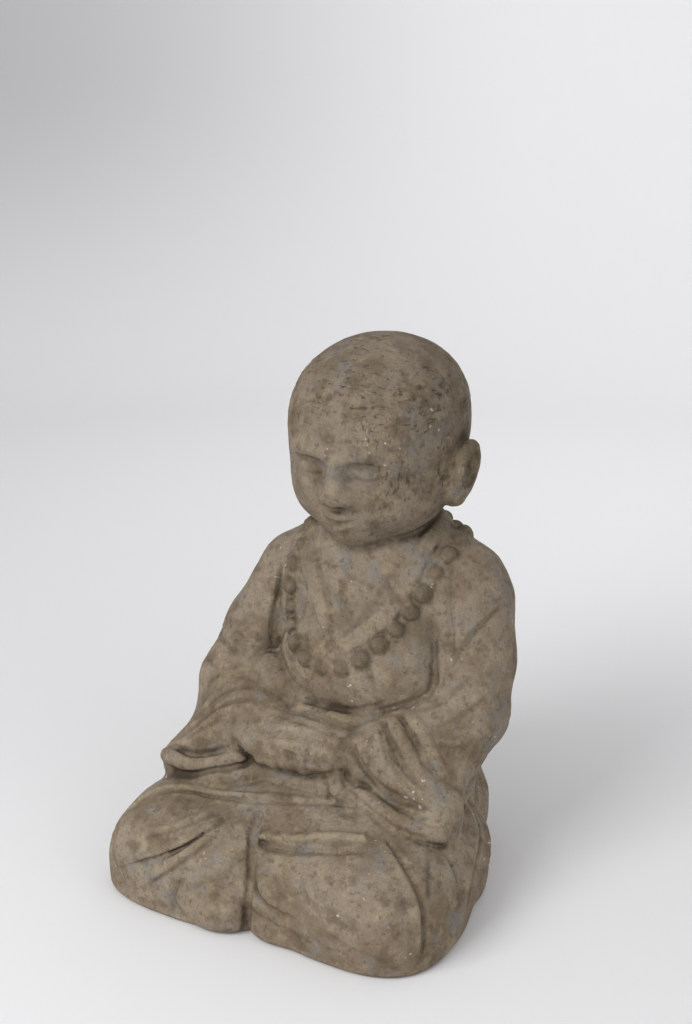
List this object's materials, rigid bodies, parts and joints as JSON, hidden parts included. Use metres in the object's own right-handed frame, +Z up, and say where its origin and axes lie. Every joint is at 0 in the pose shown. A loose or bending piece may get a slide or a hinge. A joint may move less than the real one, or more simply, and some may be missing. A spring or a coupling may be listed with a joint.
{
  "type": "seated monk statue",
  "caption": "Cast concrete garden statue of a seated child monk: bowed shaven head, wrapped robe, prayer beads, hands laid in the lap, flat underside.",
  "frame": {"origin": "on the plane the statue stands on, under the middle of its bounding box", "axes": "+Z up, the figure faces -Y, its own left hand is at +X"},
  "size_m": [0.408, 0.3956, 0.6002],
  "materials": {
    "concrete": "cast concrete, weathered and stained, matt and finely pitted, warm grey-brown"
  },
  "bodies": {
    "root": {"seated_monk": "concrete"}
  },
  "joints": []
}
